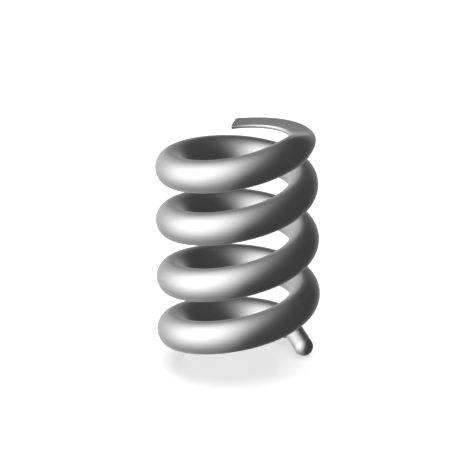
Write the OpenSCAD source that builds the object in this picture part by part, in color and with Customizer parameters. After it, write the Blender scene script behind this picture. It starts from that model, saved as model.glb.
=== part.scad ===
// Coil spring desk toy: one thick oval wire wound right-handed into four open turns.
// The upper end closes towards the turn below it and thins to a blade with a flat top,
// and the lower end steps down to a short round peg with a domed tip.
// The wire is divided into quarter-turn links, so that it can stretch, squeeze and bend.
// Millimetres. +Z is the coil's axis, -Y is its front, and the lowest point is at Z = 0.

/* [Coil] */
// Radius of the wire's centre line around the coil's axis
coil_radius = 25; // [22:0.5:32]
// Rise of the wire in one even turn
pitch = 21.3; // [20.5:0.1:26]
// Extra rise in the middle turn, which stands a little further open
middle_extra = 1.7; // [0:0.1:3]
// Height of the right side of each turn above an even helix
right_lift = 1.45; // [0:0.05:2]
// Height of the front of each turn above an even helix
front_lift = 0.65; // [0:0.05:1.5]

/* [Wire] */
// Width of the oval wire, measured away from the coil's axis
wire_width = 11.3; // [8:0.1:12]
// Height of the oval wire
wire_height = 12.7; // [9:0.1:13.5]

/* [Upper end] */
// How steeply the wire falls away from its even rise, per turn
closing_fall = 25.9; // [18:0.1:28]
// Width of the blade's oval at its tip
blade_width = 7.4; // [3:0.1:9]
// Height of the blade's oval at its tip, before its top is taken off
blade_oval = 3.8; // [2:0.1:6]
// How far above the middle of the oval its top is taken off flat, as a share of half its height
flat_level = 0.13; // [0:0.01:1]
// How much further the blade's inner edge runs than its outer edge
blade_slant = 2.2; // [0:0.1:8]

/* [Lower end] */
// Radius of the round peg
peg_radius = 3.6; // [2.5:0.1:4.5]
// Length of the peg from the middle of the wire's shoulder to the centre of its domed tip
peg_length = 13; // [8:0.5:14]
// How far the peg turns in from the line of the wire, in degrees
peg_turn_in = 16; // [0:1:20]
// How far the peg points down, in degrees
peg_drop = 17.5; // [5:0.5:25]

/* [Links] */
// Clearance between one link of wire and the next
link_gap = 0.5; // [0.4:0.05:0.8]

/* [Hidden] */
// Positions along the wire are counted in turns, from the back of the lowest turn upwards
turns = 4;
links_per_turn = 4;
link_count = turns * links_per_turn;
half_link = 1 / links_per_turn / 2;
tip_start = turns - half_link;
tip_overrun = 0.014;
wire_end = turns + tip_overrun;
middle_turn_start = 1.25;
// Sides of the wire's oval section, and how many steps each link is drawn in
sides = 24;
rings_per_link = 10;
// Where the upper end leaves the even rise, and the stretch over which it does so
closing_start = 3.57;
closing_blend = 0.13;
// Where the wire's height and its width begin and finish their taper into the blade
thin_start = 3.65;
thin_finish = 3.8;
narrow_start = 3.55;
narrow_finish = 4.06;
// Where the flat on top of the blade begins, and where it reaches its full depth
flat_start = 3.63;
flat_finish = 4;
// Length of wire, in turns, over which the slanted tip is cut
slant_reach = 0.08;
// Where the full wire ends, and the stretch over which its shoulder rounds down to the peg
shoulder_start = -0.1;
shoulder_reach = 0.04;
shoulder_steps = 6;
shoulder_land = 0.5;
// How deep the peg is rooted in the shoulder, and the slightly narrower neck that lets a sleeve
// slide up to the shoulder
peg_root = 1.8;
neck_depth = 0.3;
neck_radius = peg_radius - neck_depth;
neck_start = 2.1;
neck_end = 2.4;
// Steps of the peg's domed tip, and how far its seam is turned away from the shoulder's edges
dome_steps = 12;
peg_seam = 8;
gap_turns = link_gap / (2 * PI * coil_radius);
// Step along the wire over which its slope is measured
tiny = 0.001;

side_names = ["back", "left", "front", "right"];
function link_name(k) = str("turn_", floor(k / links_per_turn) + 1, "_", side_names[k % links_per_turn]);

// Smooth step from 0 to 1, and its integral
function step01(u) = let (c = min(max(u, 0), 1)) c * c * (3 - 2 * c);
function step_sum(u) = let (c = min(max(u, 0), 1)) c * c * c - c * c * c * c / 2 + max(u - 1, 0);
function blend(a, b, u) = a + (b - a) * step01(u);

// Height of the wire's centre line, before the whole coil is set down on Z = 0
function rise(t) =
    pitch * t
    + middle_extra * step01(t - middle_turn_start)
    - right_lift * sin(360 * t)
    - front_lift * cos(360 * t)
    - closing_fall * closing_blend * step_sum((t - closing_start) / closing_blend);
function slope(t) = (rise(t + tiny) - rise(t - tiny)) / (2 * tiny);
function lean(t) = norm([1, slope(t) / (2 * PI * coil_radius)]);

// Half width and half height of the section at t, in the upright plane through the axis
function half_width(t) =
    blend(wire_width, blade_width, (t - narrow_start) / (narrow_finish - narrow_start)) / 2;
function half_height(t) =
    blend(wire_height, blade_oval, (t - thin_start) / (thin_finish - thin_start)) / 2 * lean(t);
function flat_share(t) = blend(1, flat_level, (t - flat_start) / (flat_finish - flat_start));

function around(radius, t, z) = [-radius * sin(360 * t), radius * cos(360 * t), z];
function centre(t) = around(coil_radius, t, rise(t));
function heading(t) = let (d = centre(t + tiny) - centre(t - tiny)) d / norm(d);

// The slanted tip: the outer side of the last stretch of wire stops short of the inner side
slant_turns = blade_slant / (2 * PI * coil_radius);
function slanted(t, a) =
    t - slant_turns * min(max(1 - (wire_end - t) / slant_reach, 0), 1) * (1 + cos(a)) / 2;

// One ring of points around the wire, with its section scaled to suit the shoulder
function ring(t, w = 1, h = 1) = [
    for (j = [0 : sides - 1])
        let (a = 360 * j / sides, s = slanted(t, a))
            let (up = h * half_height(s) * min(sin(a), flat_share(s)))
                around(coil_radius + w * half_width(s) * cos(a), s, rise(s) + up)
];

// A closed tube through a list of rings, with a point at the middle of each end
module tube(rings) {
    last = len(rings) - 1;
    mean = function (r) [for (i = [0 : 2]) [for (p = r) p[i]] * [for (p = r) 1 / sides]];
    points = concat([for (r = rings) each r], [mean(rings[0]), mean(rings[last])]);
    low = len(points) - 2;
    high = len(points) - 1;
    next = function (j) (j + 1) % sides;
    wall = [
        for (i = [0 : last - 1], j = [0 : sides - 1])
            let (p = i * sides + j, q = i * sides + next(j))
                each [[p, q, p + sides], [q, q + sides, p + sides]]
    ];
    caps = [
        for (j = [0 : sides - 1])
            each [[low, next(j), j], [high, last * sides + j, last * sides + next(j)]]
    ];
    polyhedron(points, concat(wall, caps));
}

module wire(from, to, rings) {
    tube([for (i = [0 : rings]) ring(from + (to - from) * i / rings)]);
}

// Quarter-turn link number k, from the bottom
module link(k) {
    middle = k / links_per_turn;
    from = k == 0 ? shoulder_start : middle - half_link + gap_turns / 2;
    to = middle + half_link - (k == link_count - 1 ? 0 : gap_turns / 2);
    color("silver") wire(from, to, rings_per_link);
}

// Upper end of the wire: the flat-topped blade with its slanted tip
module upper_tip() {
    color("silver") wire(tip_start, wire_end, rings_per_link);
}

// Lower end of the wire: a rounded shoulder and the round peg that stands out of it
shoulder_end = shoulder_start - shoulder_reach;
function shoulder_scale(u, half) =
    let (small = (peg_radius + shoulder_land) / half) small + (1 - small) * sqrt(1 - u * u);
shoulder_rings = [
    for (i = [shoulder_steps : -1 : 0])
        let (u = i / shoulder_steps, t = shoulder_start - shoulder_reach * u)
            ring(t, shoulder_scale(u, half_width(t)), shoulder_scale(u, half_height(t)))
];

// Outline of half the peg: its buried root, its neck, its straight side and its domed tip, which
// is flat at the pole
dome = [
    for (i = [0 : dome_steps - 1])
        let (a = 90 * i / dome_steps)
            [peg_radius * cos(a), peg_length + peg_radius * sin(a)]
];
dome_height = dome[dome_steps - 1][1];
neck = [[0, -peg_root], [neck_radius, -peg_root], [neck_radius, neck_start], [peg_radius, neck_end]];
peg_outline = concat(neck, dome, [[0, dome_height]]);
peg_azimuth = atan2(-heading(shoulder_end)[1], -heading(shoulder_end)[0]) - peg_turn_in;

module peg() {
    translate(centre(shoulder_end))
        rotate([0, 90 + peg_drop, peg_azimuth])
            rotate([0, 0, peg_seam])
                rotate_extrude($fn = 64)
                    polygon(peg_outline);
}

module lower_peg() {
    color("silver") union() {
        tube(shoulder_rings);
        peg();
    }
}

// The whole coil is lifted so that its lowest point stands at Z = 0
peg_low = rise(shoulder_end) - peg_length * sin(peg_drop) - peg_radius;
wire_low = min([for (r = [ring(shoulder_start), ring(0)], p = r) p[2]]);
base = -min(peg_low, wire_low);

module placed() {
    translate([0, 0, base]) children();
}

placed() lower_peg();
for (k = [0 : link_count - 1]) {
    placed() link(k);
}
placed() upper_tip();
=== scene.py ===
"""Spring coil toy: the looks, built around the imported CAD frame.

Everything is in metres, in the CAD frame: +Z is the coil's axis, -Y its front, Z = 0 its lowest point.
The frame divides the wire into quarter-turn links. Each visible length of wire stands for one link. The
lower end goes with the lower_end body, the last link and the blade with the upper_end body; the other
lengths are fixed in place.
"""

import math

import bpy
import numpy as np
from mathutils import Matrix, Vector


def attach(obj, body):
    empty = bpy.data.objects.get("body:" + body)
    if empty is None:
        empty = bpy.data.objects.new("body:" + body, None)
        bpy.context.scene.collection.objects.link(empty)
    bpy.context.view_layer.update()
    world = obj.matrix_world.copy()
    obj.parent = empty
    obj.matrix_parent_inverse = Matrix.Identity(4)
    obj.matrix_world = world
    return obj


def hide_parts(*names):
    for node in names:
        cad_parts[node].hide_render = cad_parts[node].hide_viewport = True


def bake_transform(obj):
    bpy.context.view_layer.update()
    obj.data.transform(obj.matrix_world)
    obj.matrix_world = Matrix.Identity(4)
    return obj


MM = 0.001

# The wire, as the CAD source has it. Places along it are counted in turns, upwards from the back of
# the lowest turn.
COIL_RADIUS = 25 * MM
PITCH = 21.3 * MM
MIDDLE_EXTRA = 1.7 * MM
RIGHT_LIFT = 1.45 * MM
FRONT_LIFT = 0.65 * MM
WIRE_WIDTH = 11.3 * MM
WIRE_HEIGHT = 12.7 * MM
CLOSING_FALL = 25.9 * MM
BLADE_WIDTH = 7.4 * MM
BLADE_OVAL = 3.8 * MM
FLAT_LEVEL = 0.13
BLADE_SLANT = 2.2 * MM
PEG_RADIUS = 3.6 * MM
PEG_LENGTH = 13 * MM
PEG_TURN_IN = math.radians(16)
PEG_DROP = math.radians(17.5)
NECK_DEPTH = 0.3 * MM
NECK_RADIUS = PEG_RADIUS - NECK_DEPTH
NECK_START, NECK_END = 2.1 * MM, 2.4 * MM

TURNS = 4
LINKS_PER_TURN = 4
LINK_COUNT = TURNS * LINKS_PER_TURN
SIDE_NAMES = ("back", "left", "front", "right")
HALF_LINK = 0.5 / LINKS_PER_TURN
TIP_START = TURNS - HALF_LINK
TIP_OVERRUN = 0.014
WIRE_END = TURNS + TIP_OVERRUN
MIDDLE_TURN_START = 1.25
CLOSING_START = 3.57
CLOSING_BLEND = 0.13
THIN_START, THIN_FINISH = 3.65, 3.8
NARROW_START, NARROW_FINISH = 3.55, 4.06
FLAT_START, FLAT_FINISH = 3.63, 4
SLANT_REACH = 0.08
SHOULDER_START = -0.1
SHOULDER_REACH = 0.04
SHOULDER_END = SHOULDER_START - SHOULDER_REACH
SHOULDER_LAND = 0.5 * MM

# How finely the visible wire is drawn
SIDES = 96
RINGS_PER_LINK = 48
SHOULDER_RINGS = 20
PEG_RINGS = 16
NECK_RINGS = 6
DOME_RINGS = 20
EDGE_RINGS = 6
RUN_STEPS = 400

# The peg's dome is drawn from just beside its pole
DOME_POLE = math.radians(88)

# Small rounds at the blade's end and the peg's foot, and how far beyond each end of the neck's slope
# there is another ring, which keeps the slope crisp
TIP_ROUND = 0.3 * MM
FOOT_ROUND = 0.12 * MM
NECK_EDGE = 0.05 * MM

# How much smaller the ring is that steers the normals at the peg's pole and at the blade's flat end
POLE_SHRINK = 0.5
TIP_SHRINK = 0.7

# Step along the wire over which its slope is measured, and a trace that keeps a division by nought away
TINY = 1e-4
TRACE = 1e-12
CIRCLE = 2 * math.pi
ROUND_TURN = CIRCLE * COIL_RADIUS

# Steel's colour in its duller and its brighter patches, and how much the drawn lines add to the clouds
# that make them. Here and below, a spread is the range of a texture's values over which its effect
# grows from none to full.
STEEL_DARK = (0.56, 0.56, 0.57)
STEEL_LIGHT = (0.66, 0.66, 0.665)
PATCH_SPREAD = (0.3, 0.7)
LINE_TINT = 0.25

# Textures of the finish, on the straightened wire, which runs along x: the scale along each axis, the
# overall scale, the detail and the roughness
DRAWN_LINES = ((0.05, 1, 1), 2600, 5, 0.6)
CLOUDS = ((0.4, 1, 1), 90, 3, 0.5)
RUBS = ((0.22, 1, 1), 420, 6, 0.7)
SPECKS = ((1, 1, 1), 2200, 2, 0.5)

# How rough the steel is, from clear to cloudy, and what the rubs and the drawn lines add to that
SATIN = (0.3, 0.34)
CLOUD_SPREAD = (0.35, 0.7)
RUB_SPREAD = (0.58, 0.72)
RUB_ROUGHNESS = 0.06
LINE_ROUGHNESS = 0.04

# The relief: drawn lines and specks stand up, and rubs are worn down
LINE_SPREAD = (0.3, 0.7)
WORN_SPREAD = (0.6, 0.75)
SPECK_RELIEF = 0.3
WORN_RELIEF = -0.5
RELIEF_STRENGTH = 0.35
RELIEF_DEPTH = 0.004 * MM

# The studio dome. Each light is brightest in one direction and fades out with the angle from it, to
# nothing at its edge, where the cosine of that angle has the value given
DOME_DIM = 0.07
DOME_LIGHTS = (
    # direction, edge, fade power, strength
    ((-0.848, -0.360, 0.388), -0.15, 2.0, 1.62),
    ((-0.995, -0.060, -0.080), 0.05, 0.25, 0.38),
    ((-0.050, 0.950, -0.300), 0.50, 2.0, 0.42),
)
OVERHEAD_SIZE = 2.0
OVERHEAD_HEIGHT = 1.5
OVERHEAD_POWER = 30
FLOOR_SIZE = 6.0
FLOOR_GREY = 0.9
FLOOR_ROUGHNESS = 0.9
WHITE = (1, 1, 1, 1)

# The camera, which looks at the coil's front from a little above
VIEW_WIDTH = 0.1783
VIEW_ELEVATION = math.radians(22.575)
VIEW_ROLL = math.radians(0.825)
VIEW_TARGET = (-0.00024, 0, 0.0504)
VIEW_DISTANCE = 1.2


# The wire's shape: the same formulas as the CAD source, in metres


def step01(u):
    c = np.clip(u, 0, 1)
    return c * c * (3 - 2 * c)


def step_sum(u):
    c = np.clip(u, 0, 1)
    return c**3 - c**4 / 2 + np.maximum(u - 1, 0)


def ease(a, b, u):
    return a + (b - a) * step01(u)


def rise(t):
    """Height of the wire's centre line, before the coil is set down on Z = 0."""
    return (
        PITCH * t
        + MIDDLE_EXTRA * step01(t - MIDDLE_TURN_START)
        - RIGHT_LIFT * np.sin(CIRCLE * t)
        - FRONT_LIFT * np.cos(CIRCLE * t)
        - CLOSING_FALL * CLOSING_BLEND * step_sum((t - CLOSING_START) / CLOSING_BLEND)
    )


def lean(t):
    """How much longer than level the centre line runs, which sets the section's upright height."""
    return np.hypot(1, (rise(t + TINY) - rise(t - TINY)) / (2 * TINY * ROUND_TURN))


def half_width(t):
    return ease(WIRE_WIDTH, BLADE_WIDTH, (t - NARROW_START) / (NARROW_FINISH - NARROW_START)) / 2


def half_height(t):
    return ease(WIRE_HEIGHT, BLADE_OVAL, (t - THIN_START) / (THIN_FINISH - THIN_START)) / 2 * lean(t)


def flat_share(t):
    """How high up the section its top is taken off flat: 1 is not at all, FLAT_LEVEL is the blade's own."""
    return ease(1, FLAT_LEVEL, (t - FLAT_START) / (FLAT_FINISH - FLAT_START))


def around(radius, t, z):
    x = -radius * np.sin(CIRCLE * t)
    y = radius * np.cos(CIRCLE * t)
    return np.stack(np.broadcast_arrays(x, y, z), axis=-1)


def centre(t):
    return around(COIL_RADIUS, t, rise(t))


def angles():
    return CIRCLE * np.arange(SIDES) / SIDES


def wire_ring(t, inset=0.0, scale=(1.0, 1.0)):
    """One ring of points around the wire at t. At the slanted tip its outer side lies further back."""
    a = angles()
    share = np.clip(1 - (WIRE_END - t) / SLANT_REACH, 0, 1) * (1 + np.cos(a)) / 2
    s = t - BLADE_SLANT / ROUND_TURN * share
    w = half_width(s) * scale[0] - inset
    h = half_height(s) * scale[1] - inset
    up = h * np.minimum(np.sin(a), flat_share(s))
    return around(COIL_RADIUS + w * np.cos(a), s, rise(s) + up)


def tip_ring(u):
    """The blade's end, rounded over: u runs from 0, the full section, to 1, the flat end."""
    turn = u * math.pi / 2
    t = WIRE_END - TIP_ROUND / ROUND_TURN * (1 - math.sin(turn))
    return wire_ring(t, TIP_ROUND * (1 - math.cos(turn)))


def shoulder_ring(u):
    """The shoulder: the full section at u = 0 rounds down to a land just wider than the peg at u = 1."""
    t = SHOULDER_START - SHOULDER_REACH * u
    small = np.array([(PEG_RADIUS + SHOULDER_LAND) / half(t) for half in (half_width, half_height)])
    return wire_ring(t, scale=small + (1 - small) * math.sqrt(1 - u * u))


def peg_frame():
    """The peg's axis, the way out from the coil and the way up, square to one another."""
    heading = centre(SHOULDER_END + TINY) - centre(SHOULDER_END - TINY)
    azimuth = math.atan2(-heading[1], -heading[0]) - PEG_TURN_IN
    level = np.array([math.cos(azimuth), math.sin(azimuth), 0])
    up = np.array([0, 0, 1])
    axis = math.cos(PEG_DROP) * level - math.sin(PEG_DROP) * up
    return axis, np.cross(up, level), math.sin(PEG_DROP) * level + math.cos(PEG_DROP) * up


def peg_ring(along, radius):
    """A circle around the peg's axis, this far along it."""
    axis, out, up = peg_frame()
    a = angles()[:, None]
    return centre(SHOULDER_END) + along * axis + radius * (np.cos(a) * out + np.sin(a) * up)


def foot_ring(u):
    """The small round between the peg's neck, at u = 0, and the shoulder's flat end, at u = 1."""
    axis = peg_frame()[0]
    normal = np.array([math.cos(CIRCLE * SHOULDER_END), math.sin(CIRCLE * SHOULDER_END), 0])
    turn = u * math.pi / 2
    along = FOOT_ROUND * (1 - math.sin(turn))
    ring = peg_ring(along, NECK_RADIUS + FOOT_ROUND * (1 - math.cos(turn)))
    spokes = ring - centre(SHOULDER_END) - along * axis
    return ring - (spokes @ normal / (axis @ normal))[:, None] * axis


# Meshes


def along_normals(rings):
    """Outward normals of a smooth skin through rings. The first and last ring only steer the others."""
    step = np.diff(rings, axis=0)
    step /= np.linalg.norm(step, axis=2, keepdims=True) + TRACE
    forward = step[1:] + step[:-1]
    middle = rings[1:-1]
    side = np.roll(middle, -1, axis=1) - np.roll(middle, 1, axis=1)
    normals = np.cross(forward, side)
    return normals / (np.linalg.norm(normals, axis=2, keepdims=True) + TRACE)


def shrunk(ring, share):
    """The ring, drawn in towards its middle."""
    middle = ring.mean(axis=0)
    return middle + (ring - middle) * share


def tube(name, rings, run, round_ends=(False, False)):
    """A closed tube. rings has one more ring at each end than the tube, to steer its normals. run is
    where each ring lies along the wire, in metres, for the finish to follow. round_ends says which ends
    the smooth normals carry on over."""
    normals = along_normals(rings)
    rings = rings[1:-1]
    count = len(rings)
    here = np.arange(SIDES)
    after = (here + 1) % SIDES
    walls = np.concatenate([
        np.stack([low + here, low + SIDES + here, low + SIDES + after, low + after], axis=1)
        for low in SIDES * np.arange(count - 1)
    ])
    last, first_middle, last_middle = (count - 1) * SIDES, count * SIDES, count * SIDES + 1
    caps = (
        np.stack([np.full(SIDES, first_middle), here, after], axis=1),
        np.stack([np.full(SIDES, last_middle), last + after, last + here], axis=1),
    )
    verts = np.concatenate([rings.reshape(-1, 3), [rings[0].mean(axis=0), rings[-1].mean(axis=0)]])
    mesh = bpy.data.meshes.new(name)
    mesh.from_pydata(verts.tolist(), [], [face for part in (walls, *caps) for face in part.tolist()])

    # Smooth normals run across from one length of wire to the next; a hidden end is flat
    skin = normals.reshape(-1, 3)
    loops = [skin[walls].reshape(-1, 3)]
    for cap, rounded in zip(caps, round_ends):
        middle, one, other = verts[cap[0]]
        flat = np.cross(one - middle, other - middle)
        flat = np.tile(flat / np.linalg.norm(flat), (SIDES, 3, 1))
        if rounded:
            flat[:, 1:] = skin[cap[:, 1:]]
        loops.append(flat.reshape(-1, 3))
    for face in mesh.polygons:
        face.use_smooth = True
    mesh.normals_split_custom_set(np.concatenate(loops).tolist())

    # Where each point would lie if the wire were straight
    a = angles()
    y = WIRE_WIDTH / 2 * np.cos(a)
    z = WIRE_WIDTH / 2 * np.sin(a)
    place = np.stack(np.broadcast_arrays(np.asarray(run)[:, None], y, z), axis=-1)
    place = np.concatenate([place.reshape(-1, 3), [[run[0], 0, 0], [run[-1], 0, 0]]])
    straight = mesh.attributes.new("straight_wire", "FLOAT_VECTOR", "POINT")
    straight.data.foreach_set("vector", place.astype(np.float32).ravel())
    mesh.update()
    return mesh


def piece(name, mesh, lift, material):
    """One length of wire. The turns aren't mirrored in one another, so the coil's inside looks calm."""
    obj = bpy.data.objects.new(name, mesh)
    obj.location.z = lift
    mesh.materials.append(material)
    bpy.context.scene.collection.objects.link(obj)
    obj.visible_glossy = False
    obj.visible_diffuse = False
    return obj


def link_name(k):
    return f"turn_{k // LINKS_PER_TURN + 1}_{SIDE_NAMES[k % LINKS_PER_TURN]}"


def wire_run(t):
    """Length of wire from the back of the lowest turn to t, in metres."""
    line = centre(np.linspace(0, t, RUN_STEPS))
    return math.copysign(np.linalg.norm(np.diff(line, axis=0), axis=1).sum(), t)


# Materials


def steel():
    """Rolled spring steel: satin, with fine drawn lines along the wire, small rubs and faint cloudiness."""
    mat = bpy.data.materials.new("spring_steel")
    mat.use_nodes = True
    nodes, links = mat.node_tree.nodes, mat.node_tree.links
    nodes.clear()
    place = nodes.new("ShaderNodeAttribute")
    place.attribute_name = "straight_wire"

    def noise(stretch, scale, detail, roughness):
        mapping = nodes.new("ShaderNodeMapping")
        mapping.inputs["Scale"].default_value = stretch
        links.new(place.outputs["Vector"], mapping.inputs["Vector"])
        made = nodes.new("ShaderNodeTexNoise")
        made.inputs["Scale"].default_value = scale
        made.inputs["Detail"].default_value = detail
        made.inputs["Roughness"].default_value = roughness
        links.new(mapping.outputs["Vector"], made.inputs["Vector"])
        return made.outputs["Fac"]

    def remap(value, spread, result=(0, 1)):
        """Take value smoothly from its spread to the range of the result."""
        made = nodes.new("ShaderNodeMapRange")
        made.interpolation_type = "SMOOTHSTEP"
        for socket, amount in zip(("From Min", "From Max", "To Min", "To Max"), (*spread, *result)):
            made.inputs[socket].default_value = amount
        links.new(value, made.inputs["Value"])
        return made.outputs["Result"]

    def add(base, extra, share):
        """The base plus a share of the extra."""
        made = nodes.new("ShaderNodeMath")
        made.operation = "MULTIPLY_ADD"
        made.inputs[1].default_value = share
        links.new(extra, made.inputs[0])
        links.new(base, made.inputs[2])
        return made.outputs["Value"]

    drawn = noise(*DRAWN_LINES)
    clouds = noise(*CLOUDS)
    rubs = noise(*RUBS)
    specks = noise(*SPECKS)

    shader = nodes.new("ShaderNodeBsdfPrincipled")
    shader.inputs["Metallic"].default_value = 1.0

    tint = nodes.new("ShaderNodeValToRGB")
    for stop, position, shade in zip(tint.color_ramp.elements, PATCH_SPREAD, (STEEL_DARK, STEEL_LIGHT)):
        stop.position = position
        stop.color = (*shade, 1)
    links.new(add(clouds, drawn, LINE_TINT), tint.inputs["Fac"])
    links.new(tint.outputs["Color"], shader.inputs["Base Color"])

    rough = remap(clouds, CLOUD_SPREAD, SATIN)
    rough = add(rough, remap(rubs, RUB_SPREAD), RUB_ROUGHNESS)
    rough = add(rough, drawn, LINE_ROUGHNESS)
    links.new(rough, shader.inputs["Roughness"])

    relief = add(remap(drawn, LINE_SPREAD), specks, SPECK_RELIEF)
    relief = add(relief, remap(rubs, WORN_SPREAD), WORN_RELIEF)
    bump = nodes.new("ShaderNodeBump")
    bump.inputs["Strength"].default_value = RELIEF_STRENGTH
    bump.inputs["Distance"].default_value = RELIEF_DEPTH
    links.new(relief, bump.inputs["Height"])
    links.new(bump.outputs["Normal"], shader.inputs["Normal"])

    out = nodes.new("ShaderNodeOutputMaterial")
    links.new(shader.outputs["BSDF"], out.inputs["Surface"])
    return mat


def floor_paint():
    """Pale and quite matt."""
    mat = bpy.data.materials.new("pale_floor")
    mat.use_nodes = True
    shader = mat.node_tree.nodes["Principled BSDF"]
    shader.inputs["Base Color"].default_value = (FLOOR_GREY, FLOOR_GREY, FLOOR_GREY, 1)
    shader.inputs["Roughness"].default_value = FLOOR_ROUGHNESS
    shader.inputs["Specular IOR Level"].default_value = 0.0
    return mat


# The studio


def studio_world():
    """A studio dome with a broad light on the left, a fainter one behind and dim walls on the right. The
    camera itself sees plain white around the coil."""
    world = bpy.data.worlds.new("studio")
    bpy.context.scene.world = world
    world.use_nodes = True
    nodes, links = world.node_tree.nodes, world.node_tree.links
    nodes.clear()
    where = nodes.new("ShaderNodeTexCoord")

    def math_node(operation, first, second):
        """A sum, a product or a power; second is a plain number or another node's output."""
        made = nodes.new("ShaderNodeMath")
        made.operation = operation
        links.new(first, made.inputs[0])
        if isinstance(second, float):
            made.inputs[1].default_value = second
        else:
            links.new(second, made.inputs[1])
        return made.outputs["Value"]

    total = None
    for direction, edge, power, strength in DOME_LIGHTS:
        towards = nodes.new("ShaderNodeVectorMath")
        towards.operation = "DOT_PRODUCT"
        towards.inputs[1].default_value = Vector(direction).normalized()
        links.new(where.outputs["Generated"], towards.inputs[0])
        share = nodes.new("ShaderNodeMapRange")
        share.inputs["From Min"].default_value = edge
        links.new(towards.outputs["Value"], share.inputs["Value"])
        glow = math_node("MULTIPLY", math_node("POWER", share.outputs["Result"], power), strength)
        total = glow if total is None else math_node("ADD", total, glow)

    dome = nodes.new("ShaderNodeBackground")
    dome.inputs["Color"].default_value = WHITE
    links.new(math_node("ADD", total, DOME_DIM), dome.inputs["Strength"])
    wall = nodes.new("ShaderNodeBackground")
    wall.inputs["Color"].default_value = WHITE
    seen = nodes.new("ShaderNodeLightPath")
    mix = nodes.new("ShaderNodeMixShader")
    out = nodes.new("ShaderNodeOutputWorld")
    links.new(seen.outputs["Is Camera Ray"], mix.inputs["Fac"])
    links.new(dome.outputs["Background"], mix.inputs[1])
    links.new(wall.outputs["Background"], mix.inputs[2])
    links.new(mix.outputs["Shader"], out.inputs["Surface"])


def studio_floor():
    """A pale floor, which isn't mirrored in the steel."""
    mesh = bpy.data.meshes.new("floor")
    half = FLOOR_SIZE / 2
    corners = [(-half, -half, 0), (half, -half, 0), (half, half, 0), (-half, half, 0)]
    mesh.from_pydata(corners, [], [(0, 1, 2, 3)])
    floor = bpy.data.objects.new("floor", mesh)
    mesh.materials.append(floor_paint())
    bpy.context.scene.collection.objects.link(floor)
    floor.visible_glossy = False


def studio_light():
    """A wide panel overhead, which keeps the floor pale and isn't mirrored in the steel either."""
    data = bpy.data.lights.new("overhead", "AREA")
    data.shape = "SQUARE"
    data.size = OVERHEAD_SIZE
    data.energy = OVERHEAD_POWER
    lamp = bpy.data.objects.new("overhead", data)
    lamp.location = (0, 0, OVERHEAD_HEIGHT)
    lamp.visible_glossy = False
    bpy.context.scene.collection.objects.link(lamp)


def camera():
    """An orthographic camera, VIEW_DISTANCE away from its target."""
    data = bpy.data.cameras.new("camera")
    data.type = "ORTHO"
    data.ortho_scale = VIEW_WIDTH
    cam = bpy.data.objects.new("camera", data)
    turn = Matrix.Rotation(math.pi / 2 - VIEW_ELEVATION, 4, "X") @ Matrix.Rotation(-VIEW_ROLL, 4, "Z")
    back = turn.to_3x3() @ Vector((0, 0, 1))
    cam.matrix_world = Matrix.Translation(Vector(VIEW_TARGET) + VIEW_DISTANCE * back) @ turn
    bpy.context.scene.collection.objects.link(cam)
    bpy.context.scene.camera = cam


# The object


def lower_end(lift, material):
    """The peg with its domed tip and the rounded shoulder, in one skin, from the dome's pole inwards."""
    dome = np.linspace(DOME_POLE, 0, DOME_RINGS, endpoint=False)
    side = np.linspace(PEG_LENGTH, NECK_END + NECK_EDGE, PEG_RINGS)
    neck = np.linspace(NECK_START - NECK_EDGE, FOOT_ROUND, NECK_RINGS, endpoint=False)
    rings = [peg_ring(PEG_LENGTH + PEG_RADIUS * math.sin(a), PEG_RADIUS * math.cos(a)) for a in dome]
    rings += [peg_ring(along, PEG_RADIUS) for along in side]
    rings += [peg_ring(NECK_END, PEG_RADIUS), peg_ring(NECK_START, NECK_RADIUS)]
    rings += [peg_ring(along, NECK_RADIUS) for along in neck]
    rings += [foot_ring(u) for u in np.linspace(0, 1, EDGE_RINGS)]
    rings += [shoulder_ring(math.sin(a)) for a in np.linspace(math.pi / 2, 0, SHOULDER_RINGS)]
    rings.insert(0, shrunk(rings[0], POLE_SHRINK))
    rings.append(wire_ring(SHOULDER_START + HALF_LINK / RINGS_PER_LINK))
    rings = np.array(rings)

    # The finish runs on from the shoulder to the peg's tip
    steps = np.linalg.norm(np.diff(rings[1:-1].mean(axis=1), axis=0), axis=1)
    run = wire_run(SHOULDER_START) - np.append(np.cumsum(steps[::-1])[::-1], 0)
    obj = piece("wire_lower_end", tube("wire_lower_end", rings, run, (True, False)), lift, material)
    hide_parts("lower_peg")
    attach(obj, "lower_end")


def wire_rings(start, finish):
    """Rings from start to finish, with one more beyond each end."""
    step = (finish - start) / RINGS_PER_LINK
    return [wire_ring(start + step * i) for i in range(-1, RINGS_PER_LINK + 2)]


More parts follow.
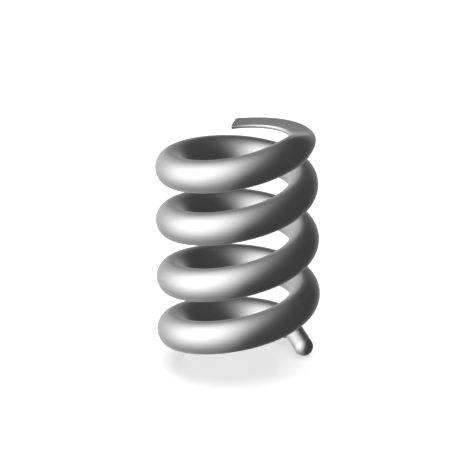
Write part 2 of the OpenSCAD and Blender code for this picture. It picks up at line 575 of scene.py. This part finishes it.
def link(k, lift, material):
    """One length of wire, from the joint below it to the joint above it."""
    name = link_name(k)
    start = SHOULDER_START if k == 0 else k / LINKS_PER_TURN - HALF_LINK
    finish = k / LINKS_PER_TURN + HALF_LINK
    rings = np.array(wire_rings(start, finish))
    run = [wire_run(t) for t in np.linspace(start, finish, RINGS_PER_LINK + 1)]
    obj = piece("wire_" + name, tube("wire_" + name, rings, run), lift, material)
    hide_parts(name)
    bodies = ["lower_end"] + [link_name(i) for i in range(1, LINK_COUNT - 1)] + ["upper_end"]
    if k == LINK_COUNT - 1:
        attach(obj, bodies[k])
        return

    # The mesh lies in the frame's own coordinates, so the lift goes into its points
    low, high = (Vector(centre(t)) + Vector((0, 0, lift)) for t in (start, finish))
    obj.data.transform(Matrix.Translation((0, 0, lift)))
    obj.location.z = 0
    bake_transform(obj)


def upper_end(lift, material):
    """The blade. The rounded tip takes the place of its last ring and of the one beyond that."""
    rings = wire_rings(TIP_START, WIRE_END - TIP_ROUND / ROUND_TURN)[:-2]
    rings += [tip_ring(u) for u in np.linspace(0, 1, EDGE_RINGS)]
    rings.append(shrunk(rings[-1], TIP_SHRINK))
    turns = np.linspace(TIP_START, WIRE_END, RINGS_PER_LINK)
    run = [wire_run(t) for t in np.append(turns, np.full(EDGE_RINGS, WIRE_END))]
    mesh = tube("wire_upper_end", np.array(rings), run, (False, True))
    obj = piece("wire_upper_end", mesh, lift, material)
    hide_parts("upper_tip")
    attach(obj, "upper_end")


def build():
    """The coil, lifted so that the peg's lowest point stands at Z = 0, and the studio around it."""
    steel_finish = steel()
    lift = PEG_RADIUS + PEG_LENGTH * math.sin(PEG_DROP) - float(centre(SHOULDER_END)[2])
    lower_end(lift, steel_finish)
    for k in range(LINK_COUNT):
        link(k, lift, steel_finish)
    upper_end(lift, steel_finish)
    studio_world()
    studio_floor()
    studio_light()
    camera()


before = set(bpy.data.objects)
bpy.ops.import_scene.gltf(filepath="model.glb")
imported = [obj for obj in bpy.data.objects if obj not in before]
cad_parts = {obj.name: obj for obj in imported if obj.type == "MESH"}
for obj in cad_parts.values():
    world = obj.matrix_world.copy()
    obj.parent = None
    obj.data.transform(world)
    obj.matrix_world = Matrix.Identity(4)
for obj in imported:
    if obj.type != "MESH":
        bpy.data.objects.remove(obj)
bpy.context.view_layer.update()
bpy.context.scene.view_settings.view_transform = "Standard"
build()
